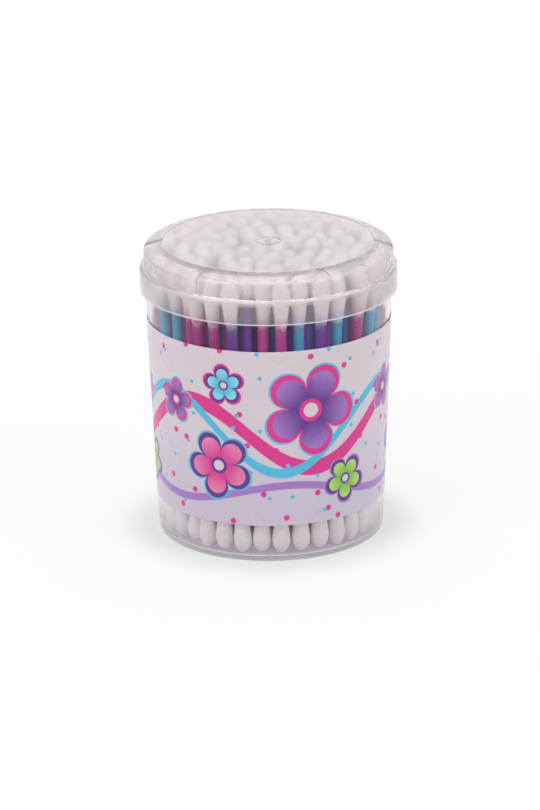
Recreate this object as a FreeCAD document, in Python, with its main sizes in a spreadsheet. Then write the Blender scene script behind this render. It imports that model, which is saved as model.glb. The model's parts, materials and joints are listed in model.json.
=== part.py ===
import FreeCAD, Part
import math
import os
import random

import Sketcher
from FreeCAD import Placement, Rotation, Vector

# A clear drum of cotton buds: a tapered tub with a wrap-round film label, a stepped lid that caps the
# tub's rim, and the buds that stand in it. Millimetres, +Z up, the origin at the middle of the base.

# Driving sizes in millimetres, with angles in degrees.
SIZES = {
    # tub
    "tub_base_radius": 30.5,
    "tub_rim_radius": 33.35,
    "tub_height": 73.45,
    "tub_wall": 1.1,
    "tub_floor": 1.2,
    "tub_heel_round": 0.8,
    "tub_lip_round": 0.3,
    # label, a film glued round the tub between two bare bands
    "label_low_band": 10.5,
    "label_top_band": 7.85,
    "label_film": 0.1,
    "label_glue": 0.05,
    "label_lap": 8.0,
    # lid
    "lid_wall": 1.1,
    "lid_fit_gap": 0.15,
    "lid_seat_gap": 0.05,
    "skirt_length": 5.6,
    "collar_round": 1.0,
    "crown_height": 4.6,
    "crown_round": 1.5,
    "crown_inner_round": 0.5,
    "ridge_width": 5.0,
    "ridge_rise": 1.55,
    "ridge_round": 0.15,
    "recess_depth": 0.25,
    "recess_draft": 0.1,
    "panel_thickness": 1.25,
    "dimple_radius": 3.5,
    "dimple_width": 0.45,
    "dimple_depth": 0.3,
    "gate_radius": 0.7,
    "gate_height": 0.2,
    "groove_count": 6,
    "groove_width": 2.7,
    "groove_depth": 0.6,
    "groove_turn": -2.5,
    # buds
    "headroom": 1.0,
    "tip_radius": 2.5,
    "tip_length": 15.5,
    "tip_dome": 4.0,
    "tip_nose": 1.5,
    "tip_barrel": 4.8,
    "neck_radius": 1.55,
    "cotton_cover": 3.0,
    "stick_radius": 1.4,
    "stick_bore": 0.9,
    "stick_fit_gap": 0.05,
    "bud_gap": 0.08,
    "bud_pitch": 5.0,
    "bud_lean": 3.0,
    "foot_shuffle": 0.5,
}

doc = FreeCAD.newDocument("CottonBudDrum")
sheet = doc.addObject("Spreadsheet::Sheet", "Sizes")
for line, (alias, number) in enumerate(SIZES.items(), start=1):
    sheet.set(f"A{line}", alias)
    sheet.set(f"B{line}", str(number))
    sheet.setAlias(f"B{line}", alias)
doc.recompute()


class Size:
    """A length with the formula that binds it to the sheet, so that one sum gives both."""

    def __init__(self, value, formula):
        self.value = value
        self.formula = formula

    def sum(self, other, sign, value):
        formula = other.formula if isinstance(other, Size) else str(other)
        return Size(value, f"({self.formula} {sign} {formula})")

    def __add__(self, other):
        return self.sum(other, "+", self.value + number_of(other))

    def __sub__(self, other):
        return self.sum(other, "-", self.value - number_of(other))

    def __mul__(self, other):
        return self.sum(other, "*", self.value * number_of(other))

    def __truediv__(self, other):
        return self.sum(other, "/", self.value / number_of(other))


def number_of(size):
    return size.value if isinstance(size, Size) else size


def size(alias):
    return Size(float(sheet.get(alias)), f"Sizes.{alias}")


def bind(feature, **properties):
    for name, length in properties.items():
        feature.setExpression(name, length.formula)


AXIS = 0
GROUND = 0


def plane(body, role):
    return next(item for item in body.Origin.OriginFeatures if item.Role == role)


def hold_corner(sketch, line, corner):
    """Ties the start of one side to its place, given as radius and height."""
    for kind, axis_index, length in (("DistanceX", -2, corner[0]), ("DistanceY", -1, corner[1])):
        if number_of(length) == 0:
            sketch.addConstraint(Sketcher.Constraint("PointOnObject", line, 1, axis_index))
        else:
            index = sketch.addConstraint(Sketcher.Constraint(kind, -1, 1, line, 1, length.value))
            sketch.setExpression(f"Constraints[{index}]", length.formula)


def outline(body, name, corners):
    """A closed outline in the XZ plane, with straight sides between corners (radius, height)."""
    sketch = body.newObject("Sketcher::SketchObject", name)
    sketch.AttachmentSupport = (plane(body, "XZ_Plane"), [""])
    sketch.MapMode = "FlatFace"
    places = [Vector(number_of(radius), number_of(height), 0) for radius, height in corners]
    for start, end in zip(places, places[1:] + places[:1]):
        sketch.addGeometry(Part.LineSegment(start, end), False)
    for line, corner in enumerate(corners):
        following = (line + 1) % len(corners)
        sketch.addConstraint(Sketcher.Constraint("Coincident", line, 2, following, 1))
        hold_corner(sketch, line, corner)
    return sketch


def turned(body, name, sketch, angle=None):
    """A solid of revolution about the body's own Z axis."""
    feature = body.newObject("PartDesign::Revolution", name)
    feature.Profile = sketch
    feature.ReferenceAxis = (sketch, ["V_Axis"])
    feature.Angle = 360
    if angle is not None:
        bind(feature, Angle=angle)
    sketch.Visibility = False
    doc.recompute()
    return feature


# How near a round edge's radius and height must be to the ones asked for, as a share of the radius.
SAME_RING = 0.0003


def rings(feature, radius, height):
    """The names of a feature's circular edges of one radius at one height."""
    near = radius.value * SAME_RING
    names = []
    for number, edge in enumerate(feature.Shape.Edges, start=1):
        curve = edge.Curve
        if not isinstance(curve, Part.Circle):
            continue
        if abs(curve.Radius - radius.value) < near and abs(curve.Center.z - number_of(height)) < near:
            names.append(f"Edge{number}")
    return names


def rounded(body, name, base, radius, *edges):
    """Rounds circular edges, each given as (radius, height)."""
    feature = body.newObject("PartDesign::Fillet", name)
    feature.Base = (base, [edge for place in edges for edge in rings(base, *place)])
    bind(feature, Radius=radius)
    doc.recompute()
    return feature


def body_named(label):
    body = doc.addObject("PartDesign::Body", label)
    body.Label = label
    return body


# Levels and radii that more than one piece shares.
taper = (size("tub_rim_radius") - size("tub_base_radius")) / size("tub_height")


def tub_radius(height):
    """The tub's outer radius at a height."""
    return size("tub_base_radius") + taper * height


seat_level = size("tub_height") + size("lid_seat_gap")
skirt_level = seat_level - size("skirt_length")
collar_level = seat_level + size("lid_wall")
crown_level = collar_level + size("crown_height")
ridge_level = crown_level + size("ridge_rise")
panel_level = ridge_level - size("recess_depth")
ceiling_level = panel_level - size("panel_thickness")
crown_radius = size("tub_rim_radius") + size("lid_fit_gap")
bud_length = ceiling_level - size("headroom") - size("tub_floor")


def make_tub():
    """A thin tapered cup, moulded in one piece, with a rounded heel and lip."""
    body = body_named("tub")
    wall = size("tub_wall")
    floor = size("tub_floor")
    top = size("tub_height")
    inner_rim = size("tub_rim_radius") - wall
    inner_floor = tub_radius(floor) - wall
    sketch = outline(body, "TubOutline", [
        (AXIS, GROUND),
        (size("tub_base_radius"), GROUND),
        (size("tub_rim_radius"), top),
        (inner_rim, top),
        (inner_floor, floor),
        (AXIS, floor),
    ])
    cup = turned(body, "TubWall", sketch)
    heel = rounded(body, "TubHeel", cup, size("tub_heel_round"),
                   (size("tub_base_radius"), GROUND), (inner_floor, floor))
    rounded(body, "TubLip", heel, size("tub_lip_round"), (inner_rim, top))
    return body


def make_label():
    """The printed film, wrapped once round the tub and lapped over its own end at the back."""
    body = body_named("label")
    low = size("label_low_band")
    high = skirt_level - size("label_top_band")
    glue = size("label_glue")

    def band(name, layers):
        outside = glue + size("label_film") * layers
        return outline(body, name, [
            (tub_radius(low) + glue, low),
            (tub_radius(low) + outside, low),
            (tub_radius(high) + outside, high),
            (tub_radius(high) + glue, high),
        ])

    turned(body, "Wrap", band("WrapOutline", layers=1))
    lap_angle = size("label_lap") / size("tub_rim_radius") * (180 / math.pi)
    turned(body, "Lap", band("LapOutline", layers=2), lap_angle)
    body.Placement = Placement(Vector(), Rotation(Vector(0, 0, 1), 90))
    return body


def make_lid():
    """A stepped cap: a skirt outside the tub's rim, a crown wall, a sloping ridge and a sunk panel.

    A shallow ring is let into the panel round the gate's stub.
    """
    body = body_named("lid")
    wall = size("lid_wall")
    skirt_radius = crown_radius + wall
    ridge_radius = crown_radius - size("ridge_width")
    recess_radius = ridge_radius - size("recess_draft")
    slope = size("ridge_rise") / size("ridge_width")
    hollow_radius = recess_radius + wall
    inside_radius = crown_radius - wall
    inside_level = crown_level + slope * wall - wall
    ring_radius = size("dimple_radius") - size("dimple_width")
    ring_level = panel_level - size("dimple_depth")
    gate_level = panel_level + size("gate_height")
    sketch = outline(body, "LidOutline", [
        (AXIS, ceiling_level),
        (hollow_radius, ceiling_level),
        (hollow_radius, crown_level + slope * (crown_radius - hollow_radius) - wall),
        (inside_radius, inside_level),
        (inside_radius, seat_level),
        (crown_radius, seat_level),
        (crown_radius, skirt_level),
        (skirt_radius, skirt_level),
        (skirt_radius, collar_level),
        (crown_radius, collar_level),
        (crown_radius, crown_level),
        (ridge_radius, ridge_level),
        (recess_radius, panel_level),
        (size("dimple_radius"), panel_level),
        (size("dimple_radius"), ring_level),
        (ring_radius, ring_level),
        (ring_radius, panel_level),
        (size("gate_radius"), panel_level),
        (size("gate_radius"), gate_level),
        (AXIS, gate_level),
    ])
    cap = turned(body, "LidWall", sketch)
    collar = rounded(body, "CollarRound", cap, size("collar_round"), (skirt_radius, collar_level))
    crown = rounded(body, "CrownRound", collar, size("crown_round"), (crown_radius, crown_level))
    inside = rounded(body, "CrownInnerRound", crown, size("crown_inner_round"), (inside_radius, inside_level))
    ridge = rounded(body, "RidgeRound", inside, size("ridge_round"), (ridge_radius, ridge_level))
    cut_grooves(body, ridge, ridge_radius)
    body.Placement = Placement(Vector(), Rotation(Vector(0, 0, 1), size("groove_turn").value))
    body.setExpression("Placement.Rotation.Angle", "Sizes.groove_turn")
    return body


def cut_grooves(body, base, ridge_radius):
    """Flutes across the ridge and down the crown wall to the collar, evenly spaced."""
    depth = size("groove_depth")
    outside = crown_radius + size("lid_wall")
    above = ridge_level + size("lid_wall")
    sketch = outline(body, "GrooveOutline", [
        (outside, collar_level),
        (crown_radius - depth, collar_level),
        (crown_radius - depth, crown_level - depth),
        (ridge_radius, ridge_level - depth),
        (ridge_radius, above),
        (outside, above),
    ])
    groove = body.newObject("PartDesign::Pocket", "Groove")
    groove.Profile = sketch
    groove.Midplane = True
    bind(groove, Length=size("groove_width"))
    doc.recompute()
    pattern = body.newObject("PartDesign::PolarPattern", "Grooves")
    pattern.Originals = [groove]
    pattern.Axis = (sketch, ["V_Axis"])
    pattern.Angle = 360
    bind(pattern, Occurrences=size("groove_count"))
    body.Tip = pattern
    doc.recompute()
    if not groove.Shape.Volume < base.Shape.Volume:
        raise RuntimeError("the groove cuts nothing")
    if not pattern.Shape.Volume < groove.Shape.Volume:
        raise RuntimeError("the grooves are not repeated round the lid")


def make_pattern_tip():
    """One cotton tip, nose down: an oval end, a short barrel, and a flank that thins to the stick."""
    body = body_named("pattern_tip")
    sketch = body.newObject("Sketcher::SketchObject", "TipOutline")
    sketch.AttachmentSupport = (plane(body, "XZ_Plane"), [""])
    sketch.MapMode = "FlatFace"
    radius = size("tip_radius")
    dome = size("tip_dome")
    nose = size("tip_nose")
    bore = size("stick_radius") + size("stick_fit_gap")
    cover = size("cotton_cover") - size("stick_fit_gap")
    corners = [
        (radius, dome),
        (radius, size("tip_barrel")),
        (size("neck_radius"), size("tip_length")),
        (bore, size("tip_length")),
        (bore, cover),
        (AXIS, cover),
    ]
    for arc in nose_arcs(radius.value, dome.value, nose.value):
        sketch.addGeometry(arc, False)
    places = [Vector(number_of(across), number_of(up), 0) for across, up in corners]
    for start, end in zip(places, places[1:] + [Vector(0, 0, 0)]):
        sketch.addGeometry(Part.LineSegment(start, end), False)
    # The nose, the cheek and the barrel meet smoothly, and the other sides at plain corners.
    for side in range(1 + len(corners)):
        joint = "Tangent" if side < 2 else "Coincident"
        sketch.addConstraint(Sketcher.Constraint(joint, side, 2, side + 1, 1))
    last = 1 + len(corners)
    sketch.addConstraint(Sketcher.Constraint("Coincident", last, 2, 0, 1))
    sketch.addConstraint(Sketcher.Constraint("Coincident", 0, 1, -1, 1))
    for side, corner in enumerate(corners, start=2):
        hold_corner(sketch, side, corner)
    sketch.addConstraint(Sketcher.Constraint("PointOnObject", 0, 3, -2))
    held_nose = sketch.addConstraint(Sketcher.Constraint("Radius", 0, nose.value))
    sketch.setExpression(f"Constraints[{held_nose}]", nose.formula)
    turned(body, "Tip", sketch)
    return body


def nose_arcs(radius, dome, nose):
    """The round nose on the axis, and the cheek that leads from it to the upright barrel."""
    upright = Vector(0, 0, 1)
    offset = ((dome - nose) ** 2 - (radius - nose) ** 2) / (2 * (radius - nose))
    lean = math.atan2(dome - nose, offset)
    nose_circle = Part.Circle(Vector(0, nose, 0), upright, nose)
    cheek_circle = Part.Circle(Vector(-offset, dome, 0), upright, radius + offset)
    return Part.ArcOfCircle(nose_circle, -math.pi / 2, -lean), Part.ArcOfCircle(cheek_circle, -lean, 0)


def make_pattern_stick():
    """One hollow stick on the Z axis, at its height in a bud that stands on the origin."""
    def tube(name, radius):
        cylinder = doc.addObject("Part::Cylinder", name)
        bind(cylinder, Radius=radius, Height=bud_length - size("cotton_cover") * 2)
        cylinder.setExpression("Placement.Base.z", "Sizes.cotton_cover")
        return cylinder

    stick = doc.addObject("Part::Cut", "pattern_stick")
    stick.Base = tube("StickOutside", size("stick_radius"))
    stick.Tool = tube("StickBore", size("stick_bore"))
    doc.recompute()
    return stick


# How the buds stand. The foot and head of a bud are the centres of its two round noses.
COLOURS = {"p": "pink", "v": "violet", "b": "blue"}
# One letter for each bud of a row, from the tub's left side round its front, right and back. The
# rows run from the wall inwards at even steps, and the last is the one bud at the middle.
ROWS = [
    ("outer", "pbbpppvppbvbpbbpvbpvbpvpbvbpvbpvb"),
    ("second", "ppbpvppvvpbpvbpbvpbvpbvpbvp"),
    ("third", "bvvbvbvpbvpbvpbvpbvp"),
    ("fourth", "vpbpbvpbpvbpb"),
    ("inner", "pbvpbv"),
    ("inner", "v"),
]
LEFT_SIDE = 188.8
ROW_TURN = 13.7
# Where the lower half of a stick is kept clear of its neighbours, as shares of the bud's length.
STICK_SHARES = (0.28, 0.36, 0.44)
# How far each bud stands off the floor, as a share of the headroom.
RISE_SHARES = (0.03, 0.5)
SHUFFLE_SEED = 11
SETTLE_TURNS = 600
# The buds count as clear of each other when this share of the gap is all that is missing.
SETTLE_SLACK = 0.02
PITCH_GROWTH = 1.01


class Bud:
    def __init__(self, row, colour, foot, head, rise):
        self.row = row
        self.colour = colour
        self.foot = foot
        self.head = head
        self.rise = rise

    def at(self, share):
        """The place of the bud's axis, a share of the way from foot to head."""
        return [low + (high - low) * share for low, high in zip(self.foot, self.head)]

    def push(self, share, across, along):
        """Moves the axis at that share, and the nearer end most."""
        for end, weight in ((self.foot, 1 - share), (self.head, share)):
            end[0] += across * weight
            end[1] += along * weight


def stand_in_rows(pitch, room, spread):
    """Buds in rows that follow the wall, their heads shuffled so that the sticks lean."""
    chance = random.Random(SHUFFLE_SEED)
    lean = size("bud_lean").value
    shuffle = size("foot_shuffle").value
    headroom = size("headroom").value
    buds = []
    for row, (name, order) in enumerate(ROWS):
        radius = room * (1 - row / (len(ROWS) - 1))
        count = min(len(order), max(1, int(2 * math.pi * radius / pitch)))
        for place in range(count):
            angle = math.radians(LEFT_SIDE + ROW_TURN * row + 360 * place / count)
            foot = [radius * math.cos(angle), radius * math.sin(angle)]
            foot = [step + chance.gauss(0, shuffle) for step in foot]
            head = [step * spread + chance.gauss(0, lean / 2) for step in foot]
            rise = chance.uniform(*RISE_SHARES) * headroom
            buds.append(Bud(name, COLOURS[order[place]], foot, head, rise))
    return buds


def settle(buds, stations):
    """Eases the buds apart until none touches a neighbour or the wall. True once all stand clear."""
    slack = size("bud_gap").value * SETTLE_SLACK
    for turn in range(SETTLE_TURNS):
        if turn % 10 == 0:
            near = neighbours(buds)
        worst = 0.0
        for first, second in near:
            for share, apart, _ in stations:
                here = first.at(share)
                there = second.at(share)
                across = there[0] - here[0]
                along = there[1] - here[1]
                reach = math.hypot(across, along) or 1e-9
                short = apart - reach
                if short > 0:
                    worst = max(worst, short)
                    part = (short + slack) / reach / 2
                    first.push(share, -across * part, -along * part)
                    second.push(share, across * part, along * part)
        for bud in buds:
            for share, _, room in stations:
                here = bud.at(share)
                reach = math.hypot(*here)
                if reach > room:
                    worst = max(worst, reach - room)
                    part = (reach - room) / reach
                    bud.push(share, -here[0] * part, -here[1] * part)
        if worst < slack:
            return True
    return False


def neighbours(buds):
    """The pairs of buds whose feet or heads stand close together."""
    close = size("tip_radius").value * 4
    pairs = []
    for number, first in enumerate(buds):
        for second in buds[number + 1:]:
            if math.dist(first.foot, second.foot) < close or math.dist(first.head, second.head) < close:
                pairs.append((first, second))
    return pairs


def pack_buds():
    """As many buds as stand in the tub at the sheet's pitch, or at the next wider one that fits."""
    nose = size("tip_nose").value
    gap = size("bud_gap").value
    length = bud_length.value
    span = length - 2 * nose
    stick = size("stick_radius").value
    lower = [
        (nose, nose),
        (size("tip_dome").value, size("tip_radius").value),
        (size("tip_barrel").value, size("tip_radius").value),
        (size("tip_length").value, size("neck_radius").value),
    ]
    lower += [(length * share, stick) for share in STICK_SHARES]
    upper = [(length - up, girth) for up, girth in reversed(lower)]
    stations = []
    for up, girth in lower + [(length / 2, stick)] + upper:
        height = size("tub_floor").value + up
        wall = tub_radius(height).value - size("tub_wall").value
        stations.append(((up - nose) / span, 2 * girth + gap, wall - girth - gap))
    row_room = stations[1][2]
    spread = stations[-2][2] / row_room
    pitch = size("bud_pitch").value
    while True:
        buds = stand_in_rows(pitch, row_room, spread)
        if settle(buds, stations):
            return buds
        pitch *= PITCH_GROWTH


def bud_frame(bud):
    """The placement of a bud: its own origin is the lower end, with Z along the stick."""
    nose = size("tip_nose").value
    span = bud_length.value - 2 * nose
    across = bud.head[0] - bud.foot[0]
    along = bud.head[1] - bud.foot[1]
    up = math.sqrt(span ** 2 - across ** 2 - along ** 2)
    direction = Vector(across, along, up) / span
    foot = Vector(bud.foot[0], bud.foot[1], size("tub_floor").value + bud.rise + nose)
    return Placement(foot - direction * nose, Rotation(Vector(0, 0, 1), direction))


def group(label, pattern, places):
    """One sub-part of several like pieces: the pattern piece at each of its places."""
    copies = []
    for place in places:
        piece = pattern.Shape.copy()
        piece.Placement = place.multiply(pattern.Shape.Placement)
        copies.append(piece)
    feature = doc.addObject("Part::Feature", label)
    feature.Shape = Part.makeCompound(copies)
    feature.Label = label
    feature.Placement = Placement()
    return feature


def make_buds():
    """The sticks by colour and the cotton tips, row by row from the wall inwards."""
    tip = make_pattern_tip()
    stick = make_pattern_stick()
    flip = Placement(Vector(0, 0, bud_length.value), Rotation(Vector(1, 0, 0), 180))
    buds = pack_buds()
    groups = []
    for row in dict.fromkeys(name for name, _ in ROWS):
        frames = [(bud.colour, bud_frame(bud)) for bud in buds if bud.row == row]
        for colour in COLOURS.values():
            places = [frame for shade, frame in frames if shade == colour]
            if places:
                groups.append(group(f"{row}_row_{colour}_sticks", stick, places))
        if frames:
            groups.append(group(f"{row}_row_lower_tips", tip, [frame for _, frame in frames]))
            upper = [frame.multiply(flip) for _, frame in frames]
            groups.append(group(f"{row}_row_upper_tips", tip, upper))
    print(len(buds), "buds")
    return groups


def check(objects):
    """Every object recomputed, and every sub-part a sound shape."""
    for item in doc.Objects:
        if "Invalid" in item.State or "Error" in item.State:
            raise RuntimeError(f"{item.Label} did not compute: {item.State}")
    for item in objects:
        if item.Shape.isNull() or not item.Shape.isValid():
            raise RuntimeError(f"{item.Label} has no sound shape")


def main():
    pieces = [make_tub(), make_label(), make_lid()] + make_buds()
    doc.recompute()
    check(pieces)
    os.makedirs("parts", exist_ok=True)
    for piece in pieces:
        piece.Shape.exportStep(f"parts/{piece.Label}.step")
        print(piece.Label, len(piece.Shape.Solids), round(piece.Shape.Volume, 1))


main()
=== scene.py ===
import json
import math

import bmesh
import bpy
from mathutils import Matrix, Vector

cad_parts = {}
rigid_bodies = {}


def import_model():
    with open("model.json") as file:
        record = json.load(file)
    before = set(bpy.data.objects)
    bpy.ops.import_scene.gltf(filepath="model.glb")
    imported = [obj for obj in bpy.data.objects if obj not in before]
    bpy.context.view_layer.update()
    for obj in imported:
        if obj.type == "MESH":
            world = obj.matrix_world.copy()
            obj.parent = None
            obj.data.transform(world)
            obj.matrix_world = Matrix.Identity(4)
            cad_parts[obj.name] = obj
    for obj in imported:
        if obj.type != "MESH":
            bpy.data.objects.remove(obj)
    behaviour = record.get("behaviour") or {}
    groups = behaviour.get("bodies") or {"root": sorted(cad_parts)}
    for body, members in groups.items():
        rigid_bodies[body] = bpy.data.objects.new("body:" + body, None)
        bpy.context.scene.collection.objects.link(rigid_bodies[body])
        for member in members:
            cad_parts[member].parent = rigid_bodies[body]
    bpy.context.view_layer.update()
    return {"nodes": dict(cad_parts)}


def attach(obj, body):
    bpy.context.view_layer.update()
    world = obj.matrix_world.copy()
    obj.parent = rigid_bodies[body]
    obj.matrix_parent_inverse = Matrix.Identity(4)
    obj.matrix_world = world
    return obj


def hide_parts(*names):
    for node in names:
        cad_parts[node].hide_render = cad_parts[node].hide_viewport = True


# A clear plastic drum of cotton buds: the moulded tub and lid, the printed film round the tub, and the
# buds that stand in it. Metres, +Z up, the front towards -Y, as in the frame.

MM = 0.001

# The buds' rows, from the wall inwards, and how far the sticks' colours reach into each row's cotton, as
# painted coloured shade that is stronger behind the outer row.
ROW_PAINTED_SHADES = {"outer": 0.1, "second": 1.0, "third": 1.2, "fourth": 1.2, "inner": 1.2}
# A cotton tip, and how far its nose stands past the stick's end.
COTTON_TIP = {
    "Tip Length": 15.5 * MM,
    "Tip Radius": 2.5 * MM,
    "Dome": 4.0 * MM,
    "Neck Radius": 1.45 * MM,
    "Lump Height": 0.1 * MM,
    "Sides": 21,
    "Rings": 17,
}
COTTON_PAST_STICK = 3.0 * MM
# How closely the tip's rings crowd at its nose, how its flank falls to the neck, the least and most
# thickness of a tip as a share, and the turn from one tip to the next.
RING_CROWDING = 1.35
FLANK_FALL = 1.7
PLUMPNESS = (0.97, 1.02)
TURN_BETWEEN_TIPS = 2.4

# The three plastics of the sticks. Sticks that stand behind others have lighter copies of theirs, as painted
# coloured light: they stand in for the light that reaches them after crossing coloured plastic.
STICK_PLASTICS = {"pink": (0.46, 0.018, 0.27), "violet": (0.13, 0.025, 0.33), "blue": (0.04, 0.34, 0.54)}
BOUNCE_LIT_STICK_PLASTICS = {"pink": (0.66, 0.03, 0.40), "violet": (0.24, 0.05, 0.56), "blue": (0.07, 0.25, 0.66)}

# The clear plastics' tints, partly their own colour and partly painted shade, and the height up to which the
# tub's foot is deeper in colour as painted shade.
TUB_TINT_AND_SHADE = (0.92, 0.875, 0.915)
FOOT_PAINTED_SHADE = (0.86, 0.79, 0.865)
FOOT_BAND = 14.0 * MM
LID_TINT_AND_SHADE = (0.865, 0.805, 0.81)
# The lid's crown is rubbed above this height and outside this radius.
CROWN_HEIGHT = 74.0 * MM
CROWN_RADIUS = 28.7 * MM
# Painted highlights: matt pale lines that stand in for glints on the edges, as bands of height: the tub's
# rim and the line under it, and the skirt's lower edge.
TUB_GLINT_BANDS = ((72.8 * MM, 72.95 * MM), (73.3 * MM, 73.5 * MM))
LID_GLINT_BANDS = ((67.8 * MM, 68.0 * MM),)
EDGE_GLINT_BLUR = 0.04 * MM
EDGE_GLINT_SHARE = 0.55
EDGE_GLINT_WHITE = (0.86, 0.82, 0.86)

# The film and its inks; the film's lilac low down is partly print and partly painted shade.
FILM_WHITE = (0.765, 0.66, 0.72)
FILM_LILAC = (0.645, 0.59, 0.71)
MAGENTA = (0.80, 0.03, 0.30)
CYAN = (0.08, 0.55, 0.76)
VIOLET = (0.13, 0.03, 0.30)
LILAC = (0.42, 0.22, 0.62)
ROSE = (0.90, 0.28, 0.52)
SKY = (0.36, 0.78, 0.90)
GREEN = (0.26, 0.55, 0.06)
LIME = (0.55, 0.80, 0.22)
# The print, in millimetres: round the film from the middle of each third of it, and up from its lower
# edge. The blurs are how soft the printed edges are.
LABEL_RADIUS = 32.2
PRINT_THIRD = LABEL_RADIUS * 2 * math.pi / 3
PRINT_FOOT = 10.5
PRINT_BLUR = 0.15
PETAL_BLUR = 0.12
# Ribbons: middle, swing, phase, half width, ink.
RIBBONS = (
    (25.0, 9.0, 3.6, 2.1, MAGENTA),
    (25.5, 10.5, 4.4, 1.3, CYAN),
    (8.5, 3.0, 1.1, 1.0, LILAC),
)
# Dots: spacing, radius, shift of the pattern, ink.
DOTS = (
    (11.0, 0.75, 0.3, MAGENTA),
    (9.0, 0.5, 5.7, CYAN),
)
# Blossoms: middle round, middle up, size, tilt, and the inks of petals, their tips, edge and rim.
BLOSSOMS = (
    (11.0, 32.5, 13.0, 0.3, VIOLET, LILAC, MAGENTA, CYAN),
    (-14.5, 16.5, 9.5, 1.2, MAGENTA, ROSE, VIOLET, CYAN),
    (-12.5, 39.5, 5.5, 2.1, CYAN, SKY, VIOLET, MAGENTA),
    (22.0, 11.0, 6.5, 0.8, GREEN, LIME, VIOLET, LILAC),
    (-28.5, 32.5, 6.0, 2.7, VIOLET, LILAC, MAGENTA, CYAN),
)

# Lamps: place, height that it points at, width and height, watts. The room adds a low white light, and
# is full white where it is seen.
LAMPS = {
    "overhead": ((0.0, 0.1, 0.9), 0.05, (0.8, 0.8), 3.6),
    "left_front": ((-0.75, -0.65, 0.65), 0.04, (0.5, 0.7), 3.6),
    "right_front": ((0.85, -0.45, 0.45), 0.04, (0.4, 0.6), 2.4),
}
ROOM_LIGHT = 0.45
FLOOR_REACH = 3.0

# The photograph's frame, the camera's focal length and the middle of its view in that frame's pixels,
# and how the camera stands.
FRAME_WIDTH = 540
FRAME_HEIGHT = 810
FOCAL_PIXELS = 4567
VIEW_MIDDLE = (269.7, 376.15)
SENSOR = 36.0
CAMERA_DISTANCE = 1.237
CAMERA_ELEVATION = math.radians(19.17)
CAMERA_ROLL = -0.0114
CAMERA_AIM = Vector((0, 0, 0.042))


class Wire:
    """One socket of a node tree, so that sums on it are written as plain sums."""

    def __init__(self, bench, socket):
        self.bench = bench
        self.socket = socket

    def __add__(self, other):
        return self.bench.math("ADD", self, other)

    def __radd__(self, other):
        return self.bench.math("ADD", other, self)

    def __sub__(self, other):
        return self.bench.math("SUBTRACT", self, other)

    def __rsub__(self, other):
        return self.bench.math("SUBTRACT", other, self)

    def __mul__(self, other):
        return self.bench.math("MULTIPLY", self, other)

    def __rmul__(self, other):
        return self.bench.math("MULTIPLY", other, self)

    def __truediv__(self, other):
        return self.bench.math("DIVIDE", self, other)

    def __rtruediv__(self, other):
        return self.bench.math("DIVIDE", other, self)

    def __pow__(self, other):
        return self.bench.math("POWER", self, other)

    def __rpow__(self, other):
        return self.bench.math("POWER", other, self)


class Bench:
    """Where the nodes of one tree are laid out."""

    def __init__(self, tree):
        self.tree = tree

    def node(self, kind, settings=None, sockets=None, out=0):
        """A node of any type: its settings first, then the values or links of its sockets."""
        node = self.tree.nodes.new(kind)
        for name, value in (settings or {}).items():
            setattr(node, name, value)
        for name, value in (sockets or {}).items():
            if isinstance(value, Wire):
                self.tree.links.new(value.socket, node.inputs[name])
            else:
                node.inputs[name].default_value = value
        return Wire(self, node.outputs[out])

    def math(self, operation, *values):
        return self.node("ShaderNodeMath", {"operation": operation}, dict(enumerate(values)))

    def ease(self, value, low, high, to_low=0.0, to_high=1.0):
        """A soft step from one value to the other as the input goes from low to high."""
        sockets = {0: value, 1: low, 2: high, 3: to_low, 4: to_high}
        return self.node("ShaderNodeMapRange", {"interpolation_type": "SMOOTHSTEP"}, sockets)

    def fall(self, value, low, high):
        """One up to low, and softly down to nothing at high."""
        return self.ease(value, low, high, 1.0, 0.0)

    def reach(self, across, up):
        """How far from the middle a point is that lies so far across and up."""
        return self.math("SQRT", across * across + up * up)

    def blend(self, share, first, second):
        """One colour going over into another."""
        return self.node("ShaderNodeMix", {"data_type": "RGBA"}, {0: share, 6: first, 7: second}, out=2)

    def split(self, vector):
        """The three parts of a vector."""
        x = self.node("ShaderNodeSeparateXYZ", {}, {0: vector})
        return [Wire(self, socket) for socket in x.socket.node.outputs]

    def join(self, x, y, z):
        return self.node("ShaderNodeCombineXYZ", {}, {0: x, 1: y, 2: z})

    def scaled(self, vector, by):
        return self.node("ShaderNodeVectorMath", {"operation": "SCALE"}, {0: vector, "Scale": by})

    def noise(self, place, scale, detail=2.0, roughness=0.5):
        sockets = {"Vector": place, "Scale": scale, "Detail": detail, "Roughness": roughness}
        return self.node("ShaderNodeTexNoise", {}, sockets)


def ink(colour):
    return (*colour, 1.0)


class Finish(Bench):
    """A material, and what its surface shader is set to and fed with."""

    def __init__(self, name, **constants):
        self.material = bpy.data.materials.new(name)
        self.material.use_nodes = True
        super().__init__(self.material.node_tree)
        self.surface = self.tree.nodes["Principled BSDF"]
        for socket, value in constants.items():
            self.surface.inputs[socket.replace("_", " ")].default_value = value

    def place(self):
        """The place on the piece, in its own metres."""
        return self.node("ShaderNodeTexCoord", out="Object")

    def named(self, attribute, out):
        return self.node("ShaderNodeAttribute", {"attribute_name": attribute}, {}, out)

    def feed(self, socket, wire):
        self.tree.links.new(wire.socket, self.surface.inputs[socket])

    def relief(self, height, depth, strength):
        sockets = {"Strength": strength, "Distance": depth, "Height": height}
        self.feed("Normal", self.node("ShaderNodeBump", {}, sockets))

    def cover(self, share, shader):
        """Lays another shader over the surface, by its share."""
        surface = Wire(self, self.surface.outputs[0])
        mix = self.node("ShaderNodeMixShader", {}, {0: share, 1: surface, 2: shader})
        self.tree.links.new(mix.socket, self.tree.nodes["Material Output"].inputs["Surface"])


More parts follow.
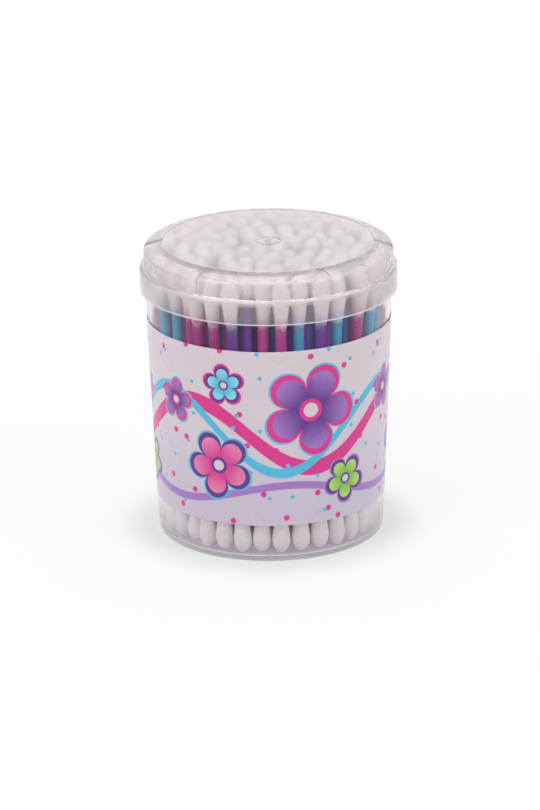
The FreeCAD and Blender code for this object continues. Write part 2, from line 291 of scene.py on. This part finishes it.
def clear_moulding(name, tint, clearness, gleam):
    """Clear rigid plastic, with the faint waviness of a thin moulded wall."""
    # The tint goes into the base colour: partly the plastic's own colour, partly painted shade.
    plastic = Finish(name, Base_Color=ink(tint), IOR=1.5, Specular_Tint=ink((gleam, gleam, gleam)),
                     Transmission_Weight=clearness)
    sag = plastic.noise(plastic.place(), 45.0, 1.0, 0.4)
    plastic.relief(sag, 0.06 * MM, 0.5)
    return plastic


def handled(plastic, clean, cloud):
    """The roughness of a clear wall that has been handled: rubbed clouds, and specks all over."""
    place = plastic.place()
    rub = plastic.noise(place, 60.0, 4.0, 0.6)
    specks = plastic.noise(place, 900.0, 2.0, 0.5)
    return clean + cloud * plastic.ease(rub, 0.42, 0.72) + specks * 0.01


def paint_edge_glints(plastic, height, bands):
    """Paints highlights on a clear moulding: matt pale lines in its bands of height, standing in for glints
    on its edges.
    """
    glint_bands = 0.0
    for low, high in bands:
        band = plastic.ease(height, low - EDGE_GLINT_BLUR, low) * plastic.fall(height, high, high + EDGE_GLINT_BLUR)
        glint_bands = plastic.math("MAXIMUM", glint_bands, band)
    # Painted highlight: a pale diffuse cover over the bands.
    pale = plastic.node("ShaderNodeBsdfDiffuse", {}, {"Color": ink(EDGE_GLINT_WHITE)})
    plastic.cover(glint_bands * EDGE_GLINT_SHARE, pale)


def tub_plastic():
    """The tub's clear plastic, hazier towards its foot, and deeper in colour there as painted shade."""
    plastic = clear_moulding("clear_tub", TUB_TINT_AND_SHADE, clearness=1.0, gleam=0.4)
    height = plastic.split(plastic.place())[2]
    foot = plastic.fall(height, 0.0, FOOT_BAND)
    # Painted shade: the base colour goes deeper and lilac towards the foot.
    plastic.feed("Base Color", plastic.blend(foot, ink(TUB_TINT_AND_SHADE), ink(FOOT_PAINTED_SHADE)))
    plastic.feed("Roughness", handled(plastic, clean=0.03, cloud=0.05) + foot * 0.14)
    paint_edge_glints(plastic, height, TUB_GLINT_BANDS)
    return plastic.material


def lid_plastic():
    """The lid's clear plastic, cloudier than the tub's, and rubbed round the crown."""
    plastic = clear_moulding("clear_lid", LID_TINT_AND_SHADE, clearness=0.92, gleam=0.7)
    x, y, height = plastic.split(plastic.place())
    high_up = plastic.ease(height, CROWN_HEIGHT, CROWN_HEIGHT + MM)
    far_out = plastic.ease(plastic.reach(x, y), CROWN_RADIUS, CROWN_RADIUS + 0.5 * MM)
    plastic.feed("Roughness", handled(plastic, clean=0.14, cloud=0.08) + high_up * far_out * 0.12)
    paint_edge_glints(plastic, height, LID_GLINT_BANDS)
    return plastic.material


def stick_plastic(name, colour):
    """Extruded coloured plastic, drawn along the stick, and a little deeper and paler in places."""
    plastic = Finish(name, IOR=1.45, Specular_IOR_Level=0.25, Subsurface_Weight=0.8,
                     Subsurface_Scale=2.0 * MM)
    place = plastic.place()
    across, along, up = plastic.split(place)
    drawn = plastic.noise(plastic.join(across * 1600, along * 1600, up * 60), 1.0)
    shade = plastic.noise(place, 70.0)
    deep = tuple(part * 0.8 for part in colour)
    pale = tuple(part * 0.96 + 0.03 for part in colour)
    plastic.feed("Base Color", plastic.blend(plastic.ease(shade, 0.3, 0.75), ink(deep), ink(pale)))
    plastic.feed("Roughness", 0.24 + drawn * 0.16)
    plastic.relief(drawn, 0.03 * MM, 0.4)
    return plastic.material


def wound_cotton():
    """Cotton wound on the stick's end: fine fibres round it, and a thin feathered edge at the neck."""
    cotton = Finish("wound_cotton", Subsurface_Weight=0.6, Subsurface_Scale=1.5 * MM,
                    Subsurface_Radius=(1.0, 0.9, 0.85), Sheen_Weight=0.25, Sheen_Roughness=0.6,
                    Specular_IOR_Level=0.25)
    around, along, _ = cotton.split(cotton.named("wrap", "Vector"))
    tufts = cotton.noise(cotton.place(), 420.0, 3.0, 0.6)
    lie = along * 26 + around * 2
    fibres = cotton.noise(cotton.join(around * 3, lie, tufts * 1.5), 3.2, 5.0, 0.65)
    # The winding is a few turns of soft ridges that cross the tip at a slant.
    winding = cotton.math("SINE", (around + along * 5.0 + tufts * 0.35) * (2 * math.pi))
    white = cotton.blend(cotton.ease(fibres, 0.3, 0.7), ink((0.76, 0.745, 0.745)), ink((0.92, 0.91, 0.905)))
    # The stick's colour shows through the thin winding, and more of it shows the deeper the bud stands,
    # which is painted coloured shade.
    shade = cotton.named("shade", "Fac")
    thin = cotton.ease(along + (tufts - 0.5) * 0.16 + shade * 0.3, 0.62, 0.97)
    cotton.feed("Base Color", cotton.blend(thin * (0.7 + shade * 0.25), white, cotton.named("dye", "Color")))
    feather = cotton.ease(along + (fibres - 0.5) * 0.35 + (tufts - 0.5) * 0.2, 0.80, 0.99)
    cotton.feed("Alpha", 1 - feather)
    cotton.feed("Roughness", 0.82 + fibres * 0.15)
    cotton.relief(fibres * 0.55 + winding * 0.10 + tufts * 0.45, 0.35 * MM, 0.7)
    return cotton.material


def ribbon(film, round_it, up_it, under, middle, swing, phase, half_width, shade):
    """A waving ribbon over the colours under it."""
    wave = film.math("SINE", round_it * (2 * math.pi / PRINT_THIRD) + phase)
    off = film.math("ABSOLUTE", up_it - middle - wave * swing)
    return film.blend(film.fall(off, half_width, half_width + PRINT_BLUR), under, ink(shade))


def dots(film, round_it, up_it, under, spacing, radius, shift, shade):
    """Scattered dots over the colours under them."""
    field = film.join(round_it / spacing + shift, up_it / spacing + shift, 0.0)
    off = film.node("ShaderNodeTexVoronoi", {"voronoi_dimensions": "2D"},
                    {"Vector": field, "Scale": 1.0, "Randomness": 0.8})
    return film.blend(film.fall(off * spacing, radius, radius + PRINT_BLUR), under, ink(shade))


def blossom(film, round_it, up_it, under, middle_round, middle_up, size, tilt, petal, petal_tip, edge, rim):
    """A blossom of five round petals over the colours under it, with an edge, a rim and a ringed eye."""
    across = round_it - middle_round
    rise = up_it - middle_up
    off = film.reach(across, rise)
    swirl = film.math("COSINE", film.math("ARCTAN2", rise, across) * 2.5 + tilt)
    lobe = film.math("ABSOLUTE", swirl) ** 0.55
    outside = off - size * (0.50 + lobe * 0.50)
    edge_width = 0.10 * size + 0.3
    ring = size * 0.24
    eye = size * 0.15
    streak = film.ease(off / size + lobe * 0.25, 0.35, 1.25)
    petals = film.blend(streak, ink(petal), ink(petal_tip))
    colour = film.blend(film.fall(outside, 0.55, 0.7), under, ink(rim))
    colour = film.blend(film.fall(outside, 0.0, PETAL_BLUR), colour, ink(edge))
    colour = film.blend(film.fall(outside, -edge_width - PETAL_BLUR, -edge_width), colour, petals)
    colour = film.blend(film.fall(off, ring, ring + PRINT_BLUR), colour, ink(edge))
    return film.blend(film.fall(off, eye, eye + PRINT_BLUR), colour, ink(FILM_WHITE))


def printed_film():
    """The wrap-round label: pale film that goes over to lilac low down, partly print and partly painted
    shade, with its print.
    """
    film = Finish("printed_film", IOR=1.5, Subsurface_Weight=0.6, Subsurface_Scale=0.3 * MM)
    place = film.place()
    x, y, z = film.split(place)
    thirds = film.math("ARCTAN2", x, y * -1) / (2 * math.pi / 3)
    round_it = (film.math("FRACT", thirds + 1.5) - 0.5) * PRINT_THIRD
    up_it = z / MM - PRINT_FOOT
    wander = film.noise(place, 90.0)
    # The lilac low down is partly print and partly painted shade.
    clouds = film.ease(up_it + (wander - 0.5) * 16, 0.0, 34.0)
    colour = film.blend(clouds, ink(FILM_LILAC), ink(FILM_WHITE))
    for draw, motifs in ((ribbon, RIBBONS), (dots, DOTS), (blossom, BLOSSOMS)):
        for motif in motifs:
            colour = draw(film, round_it, up_it, colour, *motif)
    film.feed("Base Color", colour)
    film.feed("Roughness", 0.22 + wander * 0.14)
    film.relief(film.noise(place, 140.0), 0.12 * MM, 0.35)
    return film.material


def seen_directly(bench):
    """One for rays straight from the camera, and for those seen in gloss or through clear plastic."""
    seen = bench.node("ShaderNodeLightPath", out="Is Camera Ray")
    paths = seen.socket.node.outputs
    for name in ("Is Glossy Ray", "Is Transmission Ray"):
        seen = bench.math("MAXIMUM", seen, Wire(bench, paths[name]))
    return seen


def studio_floor():
    """White paper: lit by the lamps, so that it keeps a shadow, and near white by itself where seen, with a
    painted shadow round the drum.
    """
    paper = Finish("studio_floor", Base_Color=ink((0.86, 0.86, 0.86)), Roughness=0.9, Specular_IOR_Level=0.0)
    glow = paper.node("ShaderNodeEmission", {}, {"Color": (1, 1, 1, 1), "Strength": 1.0})
    x, y, _ = paper.split(paper.place())
    away = paper.reach(x, y)
    # Painted shadow: the paper glows least where the drum stands on it, and most far off.
    share = 0.35 + paper.ease(away, 0.031, 0.045) * 0.5 + paper.ease(away, 0.06, 0.3) * 0.13
    paper.cover(seen_directly(paper) * share, glow)
    return paper.material


def middle(places):
    return sum(places, Vector()) / len(places)


def loose_solids(node):
    """The separate solids of a frame node, each as the list of its corners' places."""
    mesh = bmesh.new()
    mesh.from_mesh(node.data)
    bmesh.ops.remove_doubles(mesh, verts=mesh.verts, dist=0.001 * MM)
    solids = []
    taken = set()
    for start in mesh.verts:
        if start in taken:
            continue
        taken.add(start)
        front = [start]
        places = []
        while front:
            corner = front.pop()
            places.append(corner.co.copy())
            for edge in corner.link_edges:
                other = edge.other_vert(corner)
                if other not in taken:
                    taken.add(other)
                    front.append(other)
        solids.append(places)
    mesh.free()
    return sorted(solids, key=lambda places: tuple(middle(places)))


def stick_ends(node):
    """The middles of the lower and upper end of each stick in a node."""
    ends = []
    for places in loose_solids(node):
        halfway = middle(places).z
        foot = middle([place for place in places if place.z < halfway])
        head = middle([place for place in places if place.z >= halfway])
        ends.append((foot, head))
    return ends


def tip_tree():
    """Winds one cotton tip, sets it on every point, and gives each its own lumps."""
    tree = bpy.data.node_groups.new("cotton_tips", "GeometryNodeTree")
    inputs = {
        "Points": "Geometry", "Tip Length": "Float", "Tip Radius": "Float", "Dome": "Float",
        "Neck Radius": "Float", "Lump Height": "Float", "Sides": "Int", "Rings": "Int", "Cotton": "Material",
    }
    for name, kind in inputs.items():
        tree.interface.new_socket(name, in_out="INPUT", socket_type=f"NodeSocket{kind}")
    tree.interface.new_socket("Tips", in_out="OUTPUT", socket_type="NodeSocketGeometry")
    bench = Bench(tree)
    given = tree.nodes.new("NodeGroupInput")
    take = {name: Wire(bench, given.outputs[name]) for name in inputs}

    # A flat sheet is wound to a tip that stands on its nose, with a domed nose and a flank that thins
    # to the neck.
    sheet = bench.node("GeometryNodeMeshGrid", {}, {
        "Size X": 1.0, "Size Y": 1.0, "Vertices X": take["Sides"], "Vertices Y": take["Rings"],
    })
    wrap = Wire(bench, sheet.socket.node.outputs["UV Map"])
    around, along, _ = bench.split(wrap)
    length = take["Tip Length"]
    dome = take["Dome"]
    height = length * along ** RING_CROWDING
    near_nose = bench.math("MAXIMUM", 1 - height / dome, 0.0)
    domed = bench.math("SQRT", bench.math("MAXIMUM", 1 - near_nose * near_nose, 0.0))
    up_flank = bench.math("MAXIMUM", (height - dome) / (length - dome), 0.0)
    thinned = 1 - (1 - up_flank) ** FLANK_FALL
    girth = take["Tip Radius"] * domed - (take["Tip Radius"] - take["Neck Radius"]) * thinned
    angle = around * (2 * math.pi)
    place = bench.join(bench.math("COSINE", angle) * girth, bench.math("SINE", angle) * girth, height)
    wound = bench.node("GeometryNodeStoreNamedAttribute", {"data_type": "FLOAT2", "domain": "CORNER"},
                       {"Geometry": sheet, "Name": "wrap", "Value": wrap})
    wound = bench.node("GeometryNodeSetPosition", {}, {"Geometry": wound, "Position": place})
    wound = bench.node("GeometryNodeMergeByDistance", {}, {"Geometry": wound, "Distance": 0.005 * MM})

    def held(name, kind):
        return bench.node("GeometryNodeInputNamedAttribute", {"data_type": kind}, {"Name": name})

    axis = held("axis", "FLOAT_VECTOR")
    upright = bench.node("FunctionNodeAlignRotationToVector", {"axis": "Z"}, {"Vector": axis})
    turn = held("spin", "FLOAT")
    spin = bench.node("FunctionNodeAxisAngleToRotation", {}, {"Axis": (0, 0, 1), "Angle": turn})
    facing = bench.node("FunctionNodeRotateRotation", {"rotation_space": "LOCAL"}, {0: upright, 1: spin})
    points = bench.node("GeometryNodeMeshToPoints", {}, {"Mesh": take["Points"]})
    slimmest, plumpest = PLUMPNESS
    plump = bench.node("FunctionNodeRandomValue", {"data_type": "FLOAT"},
                       {2: slimmest, 3: plumpest, "Seed": 5}, out=1)
    tips = bench.node("GeometryNodeInstanceOnPoints", {}, {
        "Points": points, "Instance": wound, "Rotation": facing, "Scale": bench.join(plump, plump, 1.0),
    })
    tips = bench.node("GeometryNodeRealizeInstances", {}, {"Geometry": tips})
    lumps = bench.noise(bench.node("GeometryNodeInputPosition"), 330.0, 2.0, 0.55)
    outward = bench.node("GeometryNodeInputNormal")
    push = bench.scaled(outward, (lumps - 0.5) * 2 * take["Lump Height"])
    tips = bench.node("GeometryNodeSetPosition", {}, {"Geometry": tips, "Offset": push})
    tips = bench.node("GeometryNodeSetShadeSmooth", {}, {"Geometry": tips, "Shade Smooth": True})
    tips = bench.node("GeometryNodeSetMaterial", {}, {"Geometry": tips, "Material": take["Cotton"]})
    result = tree.nodes.new("NodeGroupOutput")
    tree.links.new(tips.socket, result.inputs["Tips"])
    return tree


def wind_tips(name, tree, cotton, noses):
    """One piece holding the tips whose noses, axes, stick colours and shares of painted shade are given."""
    points = bpy.data.meshes.new(name + "_points")
    points.from_pydata([nose for nose, _, _, _ in noses], [], [])
    held = {"axis": "FLOAT_VECTOR", "dye": "FLOAT_COLOR", "shade": "FLOAT", "spin": "FLOAT"}
    for attribute, kind in held.items():
        points.attributes.new(attribute, kind, "POINT")
    for number, (_, direction, colour, shade) in enumerate(noses):
        points.attributes["axis"].data[number].vector = direction
        points.attributes["dye"].data[number].color = ink(colour)
        points.attributes["shade"].data[number].value = shade
        points.attributes["spin"].data[number].value = number * TURN_BETWEEN_TIPS
    maker = bpy.data.objects.new(name + "_maker", points)
    bpy.context.collection.objects.link(maker)
    modifier = maker.modifiers.new("Tips", "NODES")
    modifier.node_group = tree
    values = dict(COTTON_TIP, Cotton=cotton)
    for socket in tree.interface.items_tree:
        if socket.in_out == "INPUT" and socket.name in values:
            modifier[socket.identifier] = values[socket.name]
    graph = bpy.context.evaluated_depsgraph_get()
    mesh = bpy.data.meshes.new_from_object(maker.evaluated_get(graph))
    mesh.name = name
    maker.modifiers.clear()
    bpy.data.objects.remove(maker)
    piece = bpy.data.objects.new(name, mesh)
    bpy.context.collection.objects.link(piece)
    return piece


def make_cotton(nodes):
    """The cotton at both ends of every stick, in place of the frame's plain tips."""
    ends = {"lower": [], "upper": []}
    for plastic, colour in STICK_PLASTICS.items():
        # Each row's share of painted coloured shade goes with its tips.
        for row, shade in ROW_PAINTED_SHADES.items():
            for foot, head in stick_ends(nodes[f"{row}_row_{plastic}_sticks"]):
                axis = (head - foot).normalized()
                ends["lower"].append((foot - axis * COTTON_PAST_STICK, axis, colour, shade))
                ends["upper"].append((head + axis * COTTON_PAST_STICK, -axis, colour, shade))
    tree = tip_tree()
    cotton = wound_cotton()
    for level, noses in ends.items():
        piece = wind_tips(f"{level}_cotton", tree, cotton, noses)
        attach(piece, "tub")
        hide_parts(*[f"{row}_row_{level}_tips" for row in ROW_PAINTED_SHADES])


def dress(node, material):
    """Gives a frame node its finish, in the slots it already has."""
    for slot in node.material_slots:
        slot.material = material


def dress_frame(nodes):
    dress(nodes["tub"], tub_plastic())
    dress(nodes["lid"], lid_plastic())
    dress(nodes["label"], printed_film())
    # Light reaches the buds through the clear walls, so these cast no shadow. Scattered light passes
    # them and the thin film.
    for name in ("tub", "lid"):
        nodes[name].visible_shadow = False
    for name in ("tub", "lid", "label"):
        nodes[name].visible_diffuse = False
    for name, colour in STICK_PLASTICS.items():
        front = stick_plastic(f"{name}_stick_plastic", colour)
        # Sticks behind the outer row get the lighter copy: painted coloured light.
        deep = stick_plastic(f"deep_{name}_stick_plastic", BOUNCE_LIT_STICK_PLASTICS[name])
        for row in ROW_PAINTED_SHADES:
            dress(nodes[f"{row}_row_{name}_sticks"], front if row == "outer" else deep)


def soft_lamp(name, place, aim, size, power):
    lamp = bpy.data.lights.new(name, "AREA")
    lamp.shape = "RECTANGLE"
    lamp.size, lamp.size_y = size
    lamp.energy = power
    holder = bpy.data.objects.new(name, lamp)
    holder.location = place
    holder.rotation_mode = "QUATERNION"
    holder.rotation_quaternion = (aim - place).to_track_quat("-Z", "Y")
    bpy.context.collection.objects.link(holder)


def light_studio():
    for name, (place, aim_height, size, power) in LAMPS.items():
        soft_lamp(name, Vector(place), Vector((0, 0, aim_height)), size, power)
    world = bpy.data.worlds.new("studio")
    world.use_nodes = True
    bpy.context.scene.world = world
    room = world.node_tree.nodes["Background"]
    room.inputs["Color"].default_value = (1, 1, 1, 1)
    strength = ROOM_LIGHT + seen_directly(Bench(world.node_tree)) * (1 - ROOM_LIGHT)
    world.node_tree.links.new(strength.socket, room.inputs["Strength"])


def lay_floor():
    floor = bpy.data.meshes.new("floor")
    outline = [(x * FLOOR_REACH, y * FLOOR_REACH, 0) for x, y in ((-1, -1), (1, -1), (1, 1), (-1, 1))]
    floor.from_pydata(outline, [], [(0, 1, 2, 3)])
    floor.materials.append(studio_floor())
    piece = bpy.data.objects.new("floor", floor)
    bpy.context.collection.objects.link(piece)


def stand_camera():
    """The photograph's view: from the front, a little above, turned slightly about its own line."""
    back = Vector((0, -math.cos(CAMERA_ELEVATION), math.sin(CAMERA_ELEVATION)))
    optics = bpy.data.cameras.new("photo_camera")
    optics.sensor_width = SENSOR
    optics.lens = SENSOR * FOCAL_PIXELS / FRAME_HEIGHT
    optics.shift_x = (FRAME_WIDTH / 2 - VIEW_MIDDLE[0]) / FRAME_HEIGHT
    optics.shift_y = (VIEW_MIDDLE[1] - FRAME_HEIGHT / 2) / FRAME_HEIGHT
    optics.clip_start = 0.05
    optics.clip_end = 20
    camera = bpy.data.objects.new("photo_camera", optics)
    bpy.context.collection.objects.link(camera)
    camera.rotation_mode = "QUATERNION"
    facing = (-back).to_track_quat("-Z", "Y").to_matrix() @ Matrix.Rotation(CAMERA_ROLL, 3, "Z")
    camera.rotation_quaternion = facing.to_quaternion()
    camera.location = CAMERA_AIM + back * CAMERA_DISTANCE
    bpy.context.scene.camera = camera


def set_render():
    scene = bpy.context.scene
    scene.view_settings.view_transform = "Standard"
    scene.cycles.use_denoising = True
    scene.cycles.max_bounces = 24
    scene.cycles.transmission_bounces = 20
    scene.cycles.transparent_max_bounces = 24
    scene.cycles.glossy_bounces = 6
    scene.cycles.diffuse_bounces = 8
    scene.cycles.caustics_reflective = False
    scene.cycles.caustics_refractive = False


def main():
    for leftover in list(bpy.data.objects):
        bpy.data.objects.remove(leftover)
    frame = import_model()
    dress_frame(frame["nodes"])
    make_cotton(frame["nodes"])
    lay_floor()
    light_studio()
    stand_camera()
    set_render()


main()
